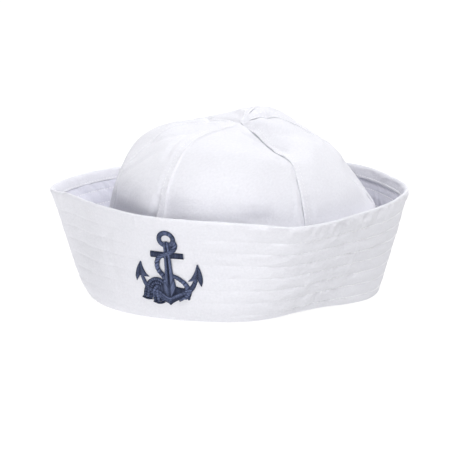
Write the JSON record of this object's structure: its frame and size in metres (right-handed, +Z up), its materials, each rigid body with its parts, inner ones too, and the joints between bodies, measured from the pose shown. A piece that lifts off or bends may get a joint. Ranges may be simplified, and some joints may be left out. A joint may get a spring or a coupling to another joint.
{
  "type": "sailor cap",
  "caption": "White cotton twill sailor cap with a gored crown, a tall turned-up brim and a navy anchor embroidered on its front",
  "frame": {"origin": "on the surface that the cap rests on, under the middle of its turned-up brim", "axes": "+Z up through the crown, -Y to the front where the anchor is, +X to the right of a viewer who faces the anchor"},
  "size_m": [0.2391, 0.235, 0.1249],
  "materials": {
    "white_twill": "matte bleached cotton twill with white topstitching",
    "white_facing": "matte bleached cotton facing, slightly puckered by its quilting rows",
    "navy_thread": "satin stitch in navy rayon thread with a soft sheen"
  },
  "bodies": {
    "root": {"crown_panel_1": "white_twill", "crown_panel_2": "white_twill", "crown_panel_3": "white_twill", "crown_panel_4": "white_twill", "crown_panel_5": "white_twill", "crown_panel_6": "white_twill", "brim_outer": "white_twill", "brim_inner": "white_facing", "anchor_embroidery": "navy_thread"}
  },
  "joints": []
}
